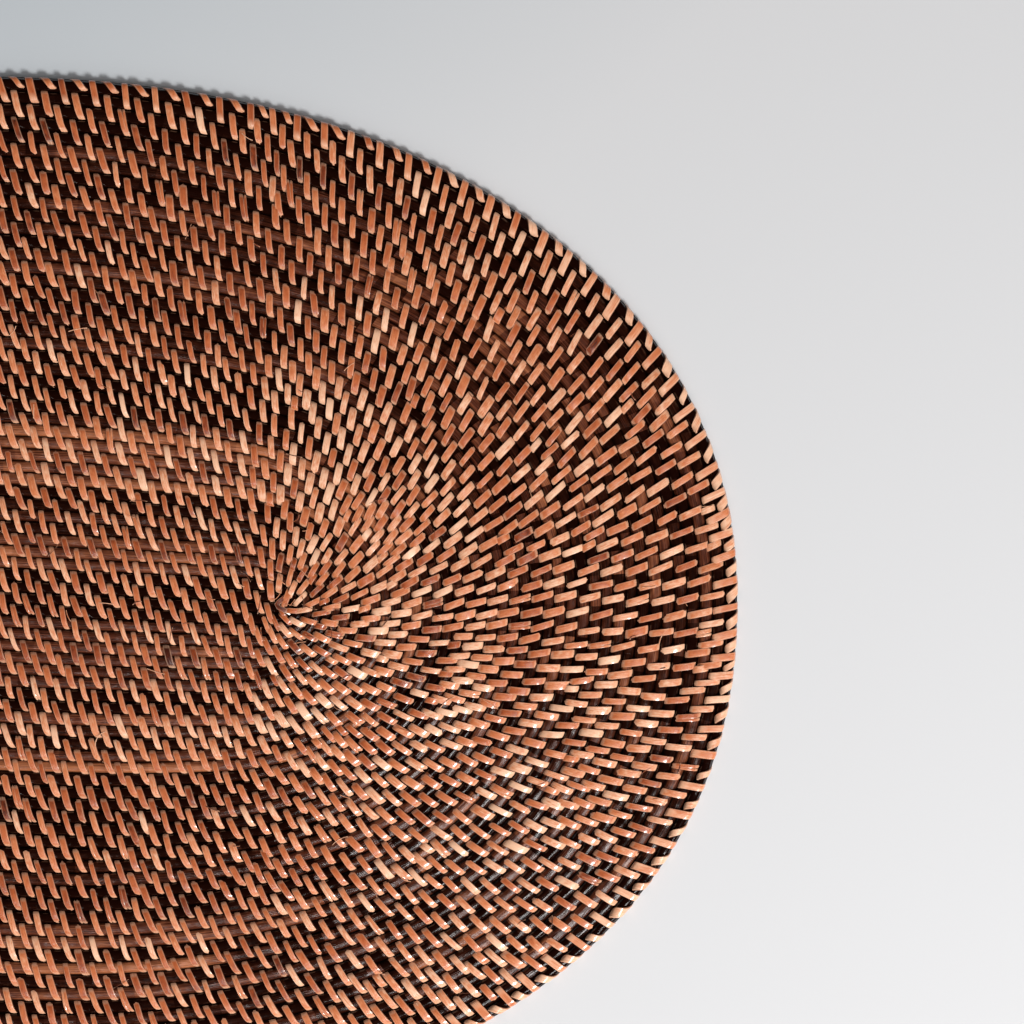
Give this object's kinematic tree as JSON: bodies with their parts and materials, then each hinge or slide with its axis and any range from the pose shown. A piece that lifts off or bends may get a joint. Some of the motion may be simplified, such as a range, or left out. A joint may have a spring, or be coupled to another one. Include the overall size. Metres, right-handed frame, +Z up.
{
  "type": "oval coiled nito placemat",
  "caption": "Flat oval placemat of dark coiled vine, bound row to row with tan splints, with spiral ribs on its face and a rounded rim.",
  "frame": {"origin": "middle of the flat underside", "axes": "+X along the oval's length, +Y across its width, +Z up out of the ribbed face"},
  "size_m": [0.457, 0.33, 0.0043],
  "materials": {
    "core": "satin dark brown-black vine, with fine lengthwise strands",
    "splint": "satin copper-tan split vine, lengthwise grain, shaded from pale tan to red-brown"
  },
  "bodies": {
    "root": {"coiled_mat": "core"}
  },
  "joints": []
}
